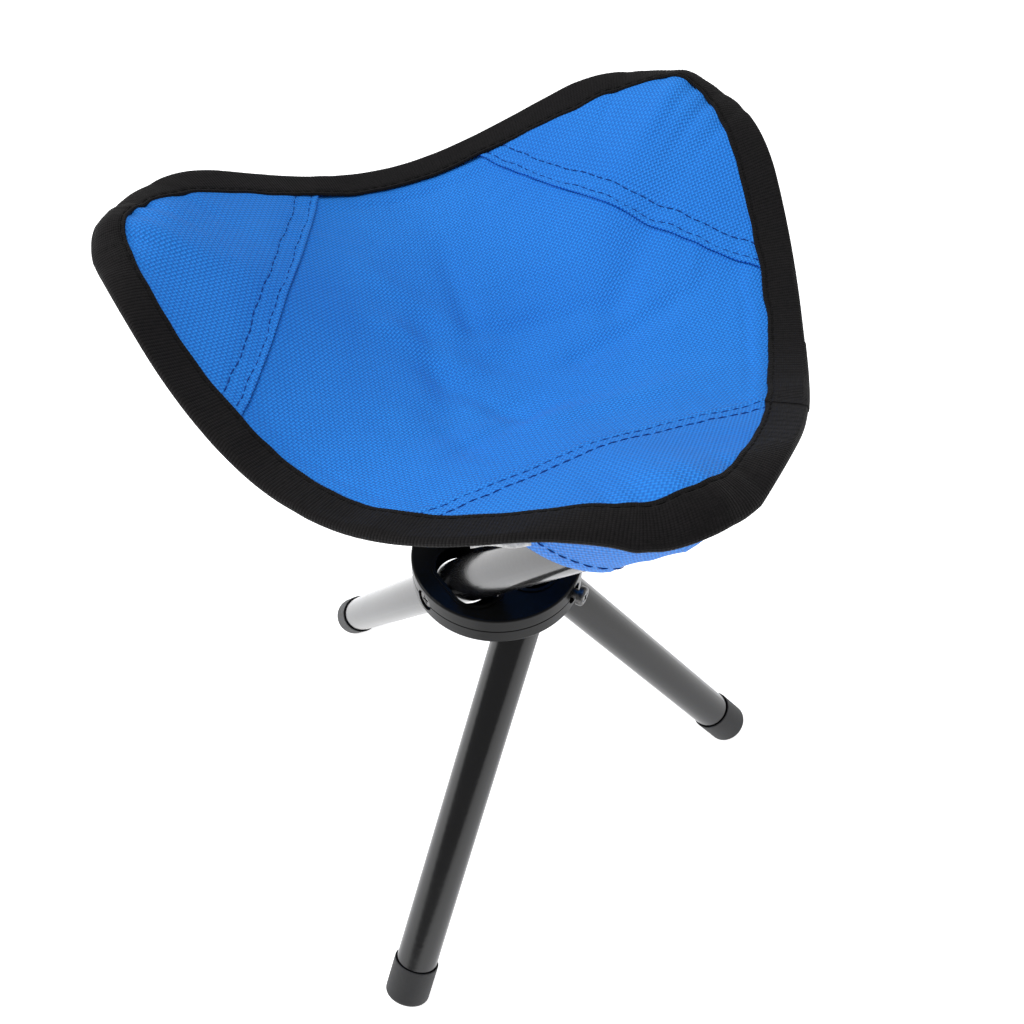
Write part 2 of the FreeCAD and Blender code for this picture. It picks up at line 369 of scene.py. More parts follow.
def crease_z(x, y):
    """Height added by the narrow creases."""
    z = 0.0
    for k in LEGS:
        d, w = local(k, x, y)
        if d > 35:
            for fold in CREASES[k]:
                z += fold_height(d, w, fold)
    for first, second, reach, height in MIDDLE_CREASES:
        z += fold_height(x, y, (first, second, reach, reach, height, height * 0.6))
    z += 0.35 * noise.noise(Vector((x * 0.05, y * 0.05, 7.3)))
    z += 0.18 * noise.noise(Vector((x * 0.13, y * 0.13, 3.1)))
    return z


def corner_place(k, f):
    """A point of corner k's outer edge, f from -1 to 1 across it."""
    return U[k] * (CORNER_REACH[k] - CORNER_ROUND * f * f) + T[k] * (f * CORNER_WIDTH / 2)


def side_place(k, f):
    """A point of the side from corner k to the next, f from 0 to 1."""
    start, end = corner_place(k, 1), corner_place(NEXT[k], -1)
    push = unit(SIDE_TURN[k]) * SIDE_REACH[k] - (start + end) / 2
    return start * (1 - f) + end * f + push * (1 - abs(2 * f - 1) ** SIDE_POWER)


TIP_SHARE = 0.17
BEFORE = {NEXT[k]: k for k in LEGS}


def rim_place(k, f):
    """The sling's edge round corner k, between the middles of the sides before and after it.

    f is 0 at the first middle, 1 at the corner's tip and 2 at the second middle.
    """
    off = f - 1
    if abs(off) <= TIP_SHARE:
        return corner_place(k, off / TIP_SHARE)
    g = (abs(off) - TIP_SHARE) / (1 - TIP_SHARE) / 2
    return side_place(k, g) if off > 0 else side_place(BEFORE[k], 1 - g)


RIM_STEPS = 400
RIM = []
for leg in LEGS:
    for step in range(RIM_STEPS):
        RIM.append(rim_place(leg, 2 * step / RIM_STEPS))
RIM_COUNT = len(RIM)


def rim_inward(i):
    along = RIM[(i + 4) % RIM_COUNT] - RIM[i - 4]
    return Vector((-along.y, along.x, 0)).normalized()


RIM_IN = [rim_inward(i) for i in range(RIM_COUNT)]


def new_object(name, mesh):
    obj = bpy.data.objects.new(name, mesh)
    bpy.context.scene.collection.objects.link(obj)
    return obj


def shade(obj):
    for p in obj.data.polygons:
        p.use_smooth = True


def apply(obj, modifier):
    with bpy.context.temp_override(object=obj, active_object=obj):
        bpy.ops.object.modifier_apply(modifier=modifier.name)


def inset_rim(i, inset):
    return RIM[i % RIM_COUNT] + RIM_IN[i % RIM_COUNT] * inset


def from_edge(p):
    """Distance of a place inwards from the sling's edge."""
    near = min(range(0, RIM_COUNT, 4), key=lambda i: (RIM[i] - p).length_squared)
    return (p - RIM[near]).dot(RIM_IN[near])


# ------------------------------------------------------------------ cloth of the upper layer


def sector_net(k, n, inset):
    """A square net over one corner's third of the sling, from its middle to its edge."""
    steps = [i / n for i in range(n + 1)]
    shrink = 1 - inset
    first = [rim_place(k, f) * shrink for f in steps]
    last = [rim_place(k, 2 - f) * shrink for f in steps]
    net = []
    for u in steps:
        row = []
        for v in steps:
            i, j = round(u * n), round(v * n)
            low, high = last[0] * v, first[0] * u
            flat = high * (1 - v) + last[i] * v + low * (1 - u) + first[j] * u
            flat -= last[0] * (v * (1 - u)) + first[0] * (u * (1 - v)) + first[n] * (u * v)
            row.append(flat)
        net.append(row)
    return net


def build_top(n):
    """The whole upper layer as one mesh; a face attribute keeps each corner's third apart."""
    bm = bmesh.new()
    part = bm.faces.layers.int.new("third")
    for number, k in enumerate(LEGS):
        net = sector_net(k, n, 0.03)
        verts = [[bm.verts.new((p.x * MM, p.y * MM, seat_z(p.x, p.y) * MM)) for p in row] for row in net]
        for i in range(n):
            for j in range(n):
                face = bm.faces.new((verts[i][j], verts[i + 1][j], verts[i + 1][j + 1], verts[i][j + 1]))
                face[part] = number
    bmesh.ops.remove_doubles(bm, verts=bm.verts, dist=0.0001)
    bmesh.ops.recalc_face_normals(bm, faces=bm.faces)
    if sum(f.normal.z for f in bm.faces) < 0:
        bmesh.ops.reverse_faces(bm, faces=bm.faces)
    mesh = bpy.data.meshes.new("top_cloth")
    bm.to_mesh(mesh)
    bm.free()
    return new_object("top_cloth", mesh)


# Where the cloth is held while it settles: the hold fades out between the first two distances
# from the edge, and fades in between the other two, from the middle along a corner.
HELD_EDGE = (9.5, 16.0)
HELD_CORNER = (62, 74)
SETTLE_STEPS = 25


def settle(obj):
    """Let the cloth fall into soft wrinkles between its held edges."""
    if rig.quick():
        return
    group = obj.vertex_groups.new(name="held")
    for v in obj.data.vertices:
        x, y = v.co.x / MM, v.co.y / MM
        hold = 1.0 - smooth(from_edge(Vector((x, y, 0))), *HELD_EDGE)
        for k in LEGS:
            d, w = local(k, x, y)
            hold = max(hold, smooth(d, *HELD_CORNER))
        group.add([v.index], hold, "REPLACE")
    cloth = obj.modifiers.new("cloth", "CLOTH")
    s = cloth.settings
    s.quality = 6
    s.mass = 0.15
    s.tension_stiffness = 25
    s.compression_stiffness = 25
    s.shear_stiffness = 10
    s.bending_stiffness = 0.25
    s.tension_damping = 12
    s.compression_damping = 12
    s.bending_damping = 1.0
    s.air_damping = 4
    s.vertex_group_mass = "held"
    s.pin_stiffness = 1.5
    s.shrink_min = -0.006
    cloth.collision_settings.use_self_collision = False
    scene = bpy.context.scene
    cloth.point_cache.frame_start = 1
    cloth.point_cache.frame_end = 30
    for step in range(1, SETTLE_STEPS + 1):
        scene.frame_set(step)
    apply(obj, cloth)
    scene.frame_set(1)


def add_creases(obj):
    """Divide the settled cloth more finely, then press the narrow creases into it."""
    finer = obj.modifiers.new("finer", "SUBSURF")
    finer.levels = 1
    finer.boundary_smooth = "PRESERVE_CORNERS"
    apply(obj, finer)
    for v in obj.data.vertices:
        v.co.z += crease_z(v.co.x / MM, v.co.y / MM) * MM


def tree_of(obj):
    mesh = obj.data
    places = [v.co.copy() for v in mesh.vertices]
    return BVHTree.FromPolygons(places, [tuple(p.vertices) for p in mesh.polygons])


top = build_top(52)
settle(top)
add_creases(top)
TOP_TREE = tree_of(top)


def top_hit(x, y):
    """Point and normal of the settled cloth above a place, in millimetres."""
    hit, normal, _, _ = TOP_TREE.ray_cast(Vector((x * MM, y * MM, 0.4)), Vector((0, 0, -1)))
    if hit is None:
        return Vector((x, y, seat_z(x, y) + crease_z(x, y))), Vector((0, 0, 1))
    return hit / MM, normal if normal.z > 0 else -normal


def seam_line(k, w):
    """Distance of corner k's seam from the middle, which grows slightly towards its ends."""
    return SEAM[k] + SEAM_BOW * (w / SEAM_BOW_AT) ** 2


def seam_distance(k, x, y):
    """Distance of a place beyond corner k's seam."""
    d, w = local(k, x, y)
    return d - seam_line(k, w)


def cut_part(name, k, low, high):
    """The part of the settled cloth in one corner's third, between two distances from its seam."""
    mesh = top.data.copy()
    obj = new_object(name, mesh)
    bm = bmesh.new()
    bm.from_mesh(mesh)
    part = bm.faces.layers.int["third"]
    drop = [f for f in bm.faces if f[part] != LEGS.index(k)]
    bmesh.ops.delete(bm, geom=drop, context="FACES")
    place = bm.verts.layers.float_vector.new("place")
    for v in bm.verts:
        v[place] = v.co
        d, w = local(k, v.co.x / MM, v.co.y / MM)
        v.co = Vector((seam_distance(k, v.co.x / MM, v.co.y / MM), w, 0))
    for limit, side in ((low, -1), (high, 1)):
        if limit is None:
            continue
        geom = list(bm.verts) + list(bm.edges) + list(bm.faces)
        bmesh.ops.bisect_plane(
            bm, geom=geom, dist=0.01, plane_co=(limit, 0, 0), plane_no=(side, 0, 0), clear_outer=True
        )
    for v in bm.verts:
        v.co = v[place]
    bm.verts.layers.float_vector.remove(place)
    bm.normal_update()
    bm.to_mesh(mesh)
    bm.free()
    return obj


def add_uv(obj, angle):
    """Cloth coordinates in metres, turned to follow the weave."""
    c, s = math.cos(math.radians(angle)), math.sin(math.radians(angle))
    layer = obj.data.uv_layers.new(name="cloth")
    for loop in obj.data.loops:
        co = obj.data.vertices[loop.vertex_index].co
        layer.data[loop.index].uv = (co.x * c + co.y * s, co.y * c - co.x * s)


def thicken(obj, thick, offset=-1.0):
    mod = obj.modifiers.new("thickness", "SOLIDIFY")
    mod.thickness = thick * MM
    mod.offset = offset
    apply(obj, mod)


def lift(obj, height):
    """Move every point of a piece up by height(x, y), in millimetres."""
    for v in obj.data.vertices:
        v.co.z += height(v.co.x / MM, v.co.y / MM) * MM


def match_normals(obj):
    """Shade a piece's upper face as the whole cloth, so that no line shows between the thirds."""
    mesh = obj.data
    normals = []
    for v in mesh.vertices:
        n = v.normal.copy()
        if n.z > 0.2:
            x, y = v.co.x / MM, v.co.y / MM
            step = 0.6
            sides = [top_hit(x + a, y + b)[0] for a, b in ((step, 0), (-step, 0), (0, step), (0, -step))]
            n = (sides[0] - sides[1]).cross(sides[2] - sides[3]).normalized()
        normals.append(n)
    mesh.normals_split_custom_set_from_vertices(normals)


# The corner's layer lies LAYER_UP over the panel and EDGE_UP more at its folded edge, and each
# row of stitches draws it down.
LAYER_UP = 0.55
EDGE_UP = 0.45
EDGE_PAST = 1.2
STITCH_PULL = 0.3
STITCH_PULL_REACH = 0.7
CORNER_CLOTH = CLOTH * 0.8

# The weave's turn, in degrees, in the panel and from each corner's own direction
PANEL_WEAVE = 8
CORNER_WEAVE = 3

panels, patches = {}, {}
for k in LEGS:
    panel = cut_part("seat_panel_cloth_" + k, k, None, SEAM_ALLOWANCE)
    add_uv(panel, PANEL_WEAVE)
    thicken(panel, CLOTH)
    shade(panel)
    match_normals(panel)
    panels[k] = panel
    patch = cut_part("corner_cloth_" + k, k, 0.0, None)

    def over(x, y, k=k):
        """Height of the corner's layer over the panel: a folded edge, pulled down by the stitches."""
        s = seam_distance(k, x, y)
        z = LAYER_UP + EDGE_UP * (1 - smooth(s, 0, ROWS[0] + EDGE_PAST))
        for row in ROWS:
            z -= STITCH_PULL * math.exp(-(((s - row) / STITCH_PULL_REACH) ** 2))
        return z

    lift(patch, over)
    add_uv(patch, TURN[k] + CORNER_WEAVE)
    thicken(patch, CORNER_CLOTH)
    shade(patch)
    patches[k] = patch


# ------------------------------------------------------------------ stitches

STITCH_SIDES = 6
STITCH_RINGS = 6

# Length, gap, width, rise in the middle and height over the cloth of each kind of stitch
SEAM_STITCH = (2.3, 0.8, 0.34, 0.12, 0.06)
TAPE_STITCH = (2.4, 0.9, 0.36, 0.14, 0.1)
HEM_STITCH = (2.8, 1.4, 0.42, 0.14, 0.02)

SEAM_FAR = 85
SEAM_UNDER_TAPE = 1.5
SEAM_THREAD_UP = 0.35


def stitch_row(bm, points, length, gap, width, rise, up):
    """A row of separate stitches along (place, normal) points, all in millimetres."""
    runs = [0.0]
    for a, b in zip(points, points[1:]):
        runs.append(runs[-1] + (b[0] - a[0]).length)

    def at(run):
        for i in range(len(runs) - 1):
            if runs[i + 1] >= run:
                f = (run - runs[i]) / max(1e-9, runs[i + 1] - runs[i])
                spot = points[i][0].lerp(points[i + 1][0], f)
                return spot, points[i][1].lerp(points[i + 1][1], f).normalized()
        return points[-1]

    place = gap / 2
    while place + length < runs[-1]:
        rings = []
        first, last = at(place)[0], at(place + length)[0]
        along = (last - first).normalized()
        for step in range(STITCH_RINGS):
            f = step / (STITCH_RINGS - 1)
            p, n = at(place + length * f)
            side = along.cross(n).normalized()
            bulge = math.sin(math.pi * f)
            centre = p + n * (up + rise * bulge)
            size = width / 2 * (0.55 + 0.45 * bulge)
            ring = []
            for turn in range(STITCH_SIDES):
                angle = 2 * math.pi * turn / STITCH_SIDES
                spot = centre + side * (size * math.cos(angle))
                spot += n * (size * math.sin(angle))
                ring.append(bm.verts.new(spot * MM))
            rings.append(ring)
        for a, b in zip(rings, rings[1:]):
            for i in range(STITCH_SIDES):
                j = (i + 1) % STITCH_SIDES
                bm.faces.new((a[i], a[j], b[j], b[i]))
        bm.faces.new(rings[0][::-1])
        bm.faces.new(rings[-1])
        place += length + gap


def thread_object(name, rows):
    """One object from rows of stitches."""
    bm = bmesh.new()
    for row in rows:
        stitch_row(bm, *row)
    bmesh.ops.recalc_face_normals(bm, faces=bm.faces)
    mesh = bpy.data.meshes.new(name)
    bm.to_mesh(mesh)
    bm.free()
    obj = new_object(name, mesh)
    shade(obj)
    return obj


def seam_row(k, offset):
    """Places along corner k's seam, offset outwards from its folded edge."""
    row = []
    for step in range(-SEAM_FAR, SEAM_FAR + 1):
        w = float(step)
        wave = 0.25 * math.sin(w * 0.21 + offset * 3) + 0.15 * math.sin(w * 0.57)
        d = seam_line(k, w) + offset + wave
        p = U[k] * d + T[k] * w
        if from_edge(p) > BINDING - SEAM_UNDER_TAPE:
            hit, n = top_hit(p.x, p.y)
            hit.z += SEAM_THREAD_UP
            row.append((hit, n))
    return row


threads = {}
for k in LEGS:
    rows = [(seam_row(k, offset), *SEAM_STITCH) for offset in ROWS]
    threads[k] = thread_object("corner_thread_" + k, rows)


# ------------------------------------------------------------------ binding tape

BIND_UP = 1.15
BIND_DOWN = 2.15
TUBE_OF_TAPE = 1.7
RIB = 1.25
CREASE_IN_TAPE = 0.4

# The tape's cross-section: shares of its width over the top, angles round its folded edge and
# shares of its width back underneath.
TAPE_OVER = (1.0, 0.99, 0.96, 0.92, 0.88, 0.84, 0.78, 0.68, 0.57, 0.46, 0.35, 0.25, 0.17)
TAPE_ROUND = (65, 40, 15, -10, -35, -60)
TAPE_UNDER = (0.17, 0.3, 0.45, 0.6, 0.75, 0.9, 0.985, 1.0)
FIRST_ROUND = len(TAPE_OVER)
FIRST_UNDER = FIRST_ROUND + len(TAPE_ROUND)
TAPE_EDGES = (0, 1, FIRST_UNDER + len(TAPE_UNDER) - 1)
TAPE_STITCH_AT = 0.88


def base_z(i, inset):
    """Height of the cloth under the tape, which rides over its creases but bridges most of each dip."""
    p = inset_rim(i, inset)
    crease = crease_z(p.x, p.y)
    return seat_z(p.x, p.y) + max(crease, CREASE_IN_TAPE * crease)


def tape_width(i):
    """The tape's visible width: a hand-sewn edge is never quite even."""
    x, y = RIM[i % RIM_COUNT].x, RIM[i % RIM_COUNT].y
    wide = BINDING + 0.8 * noise.noise(Vector((x * 0.03, y * 0.03, 1.7)))
    return wide + 0.45 * noise.noise(Vector((x * 0.12, y * 0.12, 4.1)))


def tape_wave(i):
    x, y = RIM[i % RIM_COUNT].x, RIM[i % RIM_COUNT].y
    broad = noise.noise(Vector((x * 0.09, y * 0.09, 9.1)))
    return broad + 0.5 * noise.noise(Vector((x * 0.25, y * 0.25, 2.2)))


def seam_lift(i, inset):
    """How much the tape rides up where it crosses the doubled cloth of a seam."""
    p = inset_rim(i, inset)
    lift = 0.0
    for k in LEGS:
        lift += CLOTH * math.exp(-((seam_distance(k, p.x, p.y) / SEAM_LIFT_REACH) ** 2))
    return lift


def tape_profile(i, run):
    """(inset, height) points of the folded tape, from its upper inner edge round to its lower one."""
    wide, wave = tape_width(i), tape_wave(i)
    rib = 0.045 * math.sin(2 * math.pi * run / RIB)
    profile = []
    for f in TAPE_OVER:
        z = base_z(i, wide * f) + BIND_UP + 0.3 * wave * math.sin(math.pi * f) + rib
        z += seam_lift(i, wide * f)
        z -= 0.3 * math.exp(-(((f - TAPE_STITCH_AT) / 0.03) ** 2))
        if f > 0.995:
            z -= 0.8
        profile.append((wide * f, z))
    middle = base_z(i, 0.5) - (BIND_DOWN - BIND_UP) / 2
    for angle in TAPE_ROUND:
        a = math.radians(angle)
        size = TUBE_OF_TAPE + rib
        profile.append((size * (1 - math.cos(a)) - 0.2, middle + size * math.sin(a)))
    for f in TAPE_UNDER:
        z = base_z(i, wide * f * 0.96) - BIND_DOWN - 0.3 * wave * math.sin(math.pi * f) - rib
        if f > 0.99:
            z += 0.9
        profile.append((wide * f * 0.96, z))
    return profile


def tape_object(name, first, last, swell=0.0):
    """The tape between two places on the rim, swollen outwards where it lies over itself."""
    bm = bmesh.new()
    uv = bm.loops.layers.uv.new("cloth")
    rings = []
    run = 0.0
    for i in range(first, last + 1):
        if rings:
            run += (inset_rim(i, 0) - inset_rim(i - 1, 0)).length
        profile = tape_profile(i, run)
        edge, inward = inset_rim(i, 0), RIM_IN[i % RIM_COUNT]
        ring = []
        for j, (inset, z) in enumerate(profile):
            out = swell * (1 if j < FIRST_ROUND else (0 if j < FIRST_UNDER else -1))
            shift = inset - (swell if FIRST_ROUND <= j < FIRST_UNDER else 0)
            shift += swell * 0.8 if j in TAPE_EDGES else 0
            p = edge + inward * shift
            ring.append(bm.verts.new((p.x * MM, p.y * MM, (z + out) * MM)))
        rings.append((ring, run, profile))
    across = [0.0]
    sample = rings[len(rings) // 2][2]
    for a, b in zip(sample, sample[1:]):
        across.append(across[-1] + math.hypot(a[0] - b[0], a[1] - b[1]))
    for (a, run_a, _), (b, run_b, _) in zip(rings, rings[1:]):
        for j in range(len(a) - 1):
            face = bm.faces.new((a[j], b[j], b[j + 1], a[j + 1]))
            places = ((run_a, j), (run_b, j), (run_b, j + 1), (run_a, j + 1))
            for loop, (r, c) in zip(face.loops, places):
                loop[uv].uv = (r * MM, across[c] * MM)
    bmesh.ops.recalc_face_normals(bm, faces=bm.faces)
    mesh = bpy.data.meshes.new(name)
    bm.to_mesh(mesh)
    bm.free()
    obj = new_object(name, mesh)
    shade(obj)
    return obj


def tape_row(first, last):
    """The line of stitches that holds the tape, near its inner edge."""
    row = []
    for i in range(first, last + 1, 2):
        wide, wave = tape_width(i), tape_wave(i)
        inset = wide * TAPE_STITCH_AT
        p = inset_rim(i, inset)
        z = base_z(i, inset) + BIND_UP + 0.3 * wave * math.sin(math.pi * TAPE_STITCH_AT) - 0.3
        z += seam_lift(i, inset)
        row.append((Vector((p.x, p.y, z)), Vector((0, 0, 1))))
    return row


bindings, edge_threads = {}, {}
for number, k in enumerate(LEGS):
    first, last = number * RIM_STEPS, (number + 1) * RIM_STEPS
    bindings[k] = tape_object("binding_" + k, first, last)
    row = (tape_row(first, last), *TAPE_STITCH)
    edge_threads[k] = thread_object("binding_thread_" + k, [row])

# The tape's end laps over its start on the side after corner c
LAP_FIRST = 2 * RIM_STEPS + 330
lap = tape_object("binding_lap", LAP_FIRST, 3 * RIM_STEPS, 0.25)


def loose_end(name, start, middle, end, radius):
    """A cut end of thread standing off the cloth."""
    curve = bpy.data.curves.new(name, "CURVE")
    curve.dimensions = "3D"
    curve.bevel_depth = radius * MM
    curve.bevel_resolution = 2
    curve.use_fill_caps = True
    spline = curve.splines.new("NURBS")
    spline.points.add(2)
    for point, place in zip(spline.points, (start, middle, end)):
        point.co = (*(place * MM), 1)
    spline.order_u = 3
    spline.use_endpoint_u = True
    obj = new_object(name, curve)
    mesh = bpy.data.meshes.new_from_object(obj)
    bpy.data.objects.remove(obj)
    obj = new_object(name, mesh)
    shade(obj)
    return obj


def thread_end(name, k, d, w, reach_d, reach_w):
    """A loose end lying over the cloth from the binding's edge of corner k."""
    places = []
    for f, up in ((0, 0.9), (0.5, 1.5), (1, 1.0)):
        p = U[k] * (d + reach_d * f) + T[k] * (w + reach_w * f)
        places.append(top_hit(p.x, p.y)[0] + Vector((0, 0, up + 0.4)))
    return loose_end(name, *places, 0.15)


# One loose end, where corner c's seam runs in under the tape
SEAM_END = max(p.dot(T["c"]) for p in RIM if p.dot(U["c"]) > SEAM["c"]) - BINDING - 3
ends = [thread_end("loose_end_1", "c", seam_line("c", SEAM_END) + ROWS[0], SEAM_END, 3, -4)]


# ------------------------------------------------------------------ lower pocket layers

HALF_TUBE = 8.0
POCKET_CLEAR = 1.5
END_CLEAR = 6.0
SIDE_DRAW = 0.62
PLUG_HALF = 6.5

# The lower layer hangs free round the leg's end, at least this far to each side and further
# towards the middle, and joins the upper one between each pair of distances: inwards from the
# edge well to the side of the leg, and inwards from the edge everywhere.
FREE_LEAST = 12.0
FREE_FROM = 120
JOIN_INSIDE = (6, 30)
JOIN_ASIDE = (14, 34)
JOIN_EDGE = (2.5, 9.0)
POCKET_UNDER = 1.2


def pocket_z(k, d, w):
    """Height of the lower layer, which passes under the leg's end and meets the binding at its edge."""
    along = LEG_RUN[k]
    end = TIP[k] + along * PLUG_HALF
    end_d, end_w = local(k, end.x, end.y)
    run_d, run_w = local(k, along.x, along.y)
    back = (end_d - d) / run_d
    under = end.z - back * along.z - HALF_TUBE / run_d - POCKET_CLEAR
    under = min(under, end.z - END_CLEAR)
    p = U[k] * d + T[k] * w
    edge = seat_z(p.x, p.y) - POCKET_UNDER
    aside = abs(w - end_w + back * run_w)
    half = max(FREE_LEAST, SIDE_DRAW * (FREE_FROM - d))
    share = min(1.0, (aside / half) ** 1.5)
    inside = from_edge(p)
    share = max(share, (1 - smooth(inside, *JOIN_INSIDE)) * smooth(abs(w), *JOIN_ASIDE))
    share = max(share, 1 - smooth(inside, *JOIN_EDGE))
    low = under + (edge - under) * share
    soft = noise.noise(Vector((p.x * 0.07, p.y * 0.07, 2.0)))
    soft += 0.5 * noise.noise(Vector((p.x * 0.17, p.y * 0.17, 5.0)))
    return low + 0.7 * soft * (1 - share)


HEM_MIDDLE = 76.0
HEM_SLANT = 16.0
HEM_SIDE = 60.0

POCKET_HALF = 62
POCKET_STEP = 2
POCKET_INSET = 2.0
POCKET_CLOTH = 0.8
PAST_RIM = 112.0


def hem_at(w):
    return HEM_MIDDLE - HEM_SLANT * min(1.0, abs(w) / HEM_SIDE) + 0.6 * math.sin(w * 0.13)


def rim_reach(k, w):
    """How far out a line at w meets the inside of the binding."""
    low, high = hem_at(w), PAST_RIM
    if from_edge(U[k] * low + T[k] * w) < POCKET_INSET:
        return None
    for _ in range(18):
        mid = (low + high) / 2
        if from_edge(U[k] * mid + T[k] * w) > POCKET_INSET:
            low = mid
        else:
            high = mid
    return low


POCKET_STEPS = 30


def pocket_object(k):
    bm = bmesh.new()
    uv = bm.loops.layers.uv.new("cloth")
    rows = []
    for w in range(-POCKET_HALF, POCKET_HALF + 1, POCKET_STEP):
        far = rim_reach(k, w)
        if far is None or far < hem_at(w) + 1.0:
            rows.append(None)
            continue
        row = []
        for step in range(POCKET_STEPS + 1):
            share = 1 - (1 - step / POCKET_STEPS) ** 1.7
            d = hem_at(w) + (far - hem_at(w)) * share
            p = U[k] * d + T[k] * w
            z = pocket_z(k, d, w)
            if step < 2:
                z -= 0.25 * (2 - step)
            row.append((bm.verts.new((p.x * MM, p.y * MM, z * MM)), (w * MM, d * MM)))
        rows.append(row)
    for r, q in zip(rows, rows[1:]):
        if r is None or q is None:
            continue
        for b in range(POCKET_STEPS):
            face = bm.faces.new((r[b][0], q[b][0], q[b + 1][0], r[b + 1][0]))
            for loop, item in zip(face.loops, (r[b], q[b], q[b + 1], r[b + 1])):
                loop[uv].uv = item[1]
    bmesh.ops.recalc_face_normals(bm, faces=bm.faces)
    mesh = bpy.data.meshes.new("pocket_cloth_" + k)
    bm.to_mesh(mesh)
    bm.free()
    obj = new_object("pocket_cloth_" + k, mesh)
    thicken(obj, POCKET_CLOTH, 0.0)
    shade(obj)
    return obj


HEM_STITCH_AT = 3.4
HEM_FAR = 56
HEM_CLEAR = 6.0
HEM_THREAD_OUT = 0.45


def hem_row(k, offset):
    """Places along the pocket's hem, on its lower face."""
    row = []
    for w in range(-HEM_FAR, HEM_FAR + 1):
        d = hem_at(w) + offset
        p = U[k] * d + T[k] * w
        if from_edge(p) > HEM_CLEAR:
            step = 0.5
            a = Vector((step, 0, pocket_z(k, d + step, w) - pocket_z(k, d, w)))
            b = Vector((0, step, pocket_z(k, d, w + step) - pocket_z(k, d, w)))
            n = b.cross(a).normalized()
            n = U[k] * n.x + T[k] * n.y + Vector((0, 0, n.z))
            row.append((Vector((p.x, p.y, pocket_z(k, d, w))) + n * HEM_THREAD_OUT, n))
    return row


pockets, hem_threads = {}, {}
for k in LEGS:
    pockets[k] = pocket_object(k)
    hem_threads[k] = thread_object("hem_thread_" + k, [(hem_row(k, HEM_STITCH_AT), *HEM_STITCH)])


# ------------------------------------------------------------------ blank care label


LABEL_WIDE = 14
LABEL_CURL = 1.3
LABEL_WAVE = 0.4
LABEL_WAVES = 600
LABEL_THICK = 0.3
LABEL_TUCK = 0.0012


def label_object():
    """A small blank tag sewn in under the binding, curling slightly outwards."""
    low, high = (Vector(v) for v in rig.box("care_label"))
    centre = (low + high) / 2
    out = Vector((centre.x, centre.y, 0)).normalized()
    side = Vector((-out.y, out.x, 0))
    columns, levels = 14, 8
    bm = bmesh.new()
    uv = bm.loops.layers.uv.new("cloth")
    grid = []
    for i in range(columns + 1):
        a = (i / columns - 0.5) * LABEL_WIDE * MM
        row = []
        for j in range(levels + 1):
            h = j / levels
            curl = (LABEL_CURL * h * h + LABEL_WAVE * h * math.sin(a * LABEL_WAVES)) * MM
            p = centre + side * a + out * curl
            row.append(bm.verts.new((p.x, p.y, high.z + LABEL_TUCK - (high.z - low.z) * h)))
        grid.append(row)
    for i in range(columns):
        for j in range(levels):
            corners = ((i, j), (i + 1, j), (i + 1, j + 1), (i, j + 1))
            face = bm.faces.new([grid[a][b] for a, b in corners])
            for loop, (a, b) in zip(face.loops, corners):
                loop[uv].uv = (a * MM, b * MM)
    bmesh.ops.recalc_face_normals(bm, faces=bm.faces)
    mesh = bpy.data.meshes.new("blank_label")
    bm.to_mesh(mesh)
    bm.free()
    obj = new_object("blank_label", mesh)
    thicken(obj, LABEL_THICK, 0.0)
    shade(obj)
    return obj


label = label_object()


# ------------------------------------------------------------------ materials


class Nodes:
    """Short helper for building a node material."""

    def __init__(self, name):
        self.mat = bpy.data.materials.new(name)
        self.mat.use_nodes = True
        self.tree = self.mat.node_tree
        self.shader = self.tree.nodes["Principled BSDF"]

    def add(self, kind, **values):
        node = self.tree.nodes.new(kind)
        for key, value in values.items():
            setattr(node, key, value)
        return node

    def link(self, a, b):
        self.tree.links.new(a, b)

    def math(self, op, a, b=None):
        node = self.add("ShaderNodeMath", operation=op)
        for i, v in enumerate((a, b)):
            if v is None:
                continue
            if isinstance(v, (int, float)):
                node.inputs[i].default_value = v
            else:
                self.link(v, node.inputs[i])
        return node.outputs[0]

    def ramp(self, value, stops):
        node = self.add("ShaderNodeValToRGB")
        self.link(value, node.inputs[0])
        elements = node.color_ramp.elements
        while len(elements) < len(stops):
            elements.new(0.5)
        for e, (pos, col) in zip(elements, stops):
            e.position = pos
            e.color = (*col, 1)
        return node.outputs[0]

    def noise(self, vector, scale, detail=3.0, rough=0.5):
        node = self.add("ShaderNodeTexNoise")
        node.inputs["Scale"].default_value = scale
        node.inputs["Detail"].default_value = detail
        node.inputs["Roughness"].default_value = rough
        self.link(vector, node.inputs["Vector"])
        return node.outputs["Fac"]

    def bump(self, height, strength, distance, before=None):
        node = self.add("ShaderNodeBump")
        node.inputs["Strength"].default_value = strength
        node.inputs["Distance"].default_value = distance
        self.link(height, node.inputs["Height"])
        if before is not None:
            self.link(before, node.inputs["Normal"])
        return node.outputs[0]

    def mix(self, share, a, b):
        node = self.add("ShaderNodeMix", data_type="RGBA")
        for socket, v in ((node.inputs[0], share), (node.inputs[6], a), (node.inputs[7], b)):
            if isinstance(v, (int, float)):
                socket.default_value = v
            elif isinstance(v, tuple):
                socket.default_value = (*v, 1)
            else:
                self.link(v, socket)
        return node.outputs[2]


# Pitches of the cloth's weave and of the tape's ribs and threads, in metres
WEAVE_PITCH = 0.00125
RIB_PITCH = 0.0009
TAPE_THREAD_PITCH = 0.0006


def cloth_coordinates(m):
    uv = m.add("ShaderNodeUVMap", uv_map="cloth")
    split = m.add("ShaderNodeSeparateXYZ")
    m.link(uv.outputs[0], split.inputs[0])
    return uv.outputs[0], split.outputs[0], split.outputs[1]


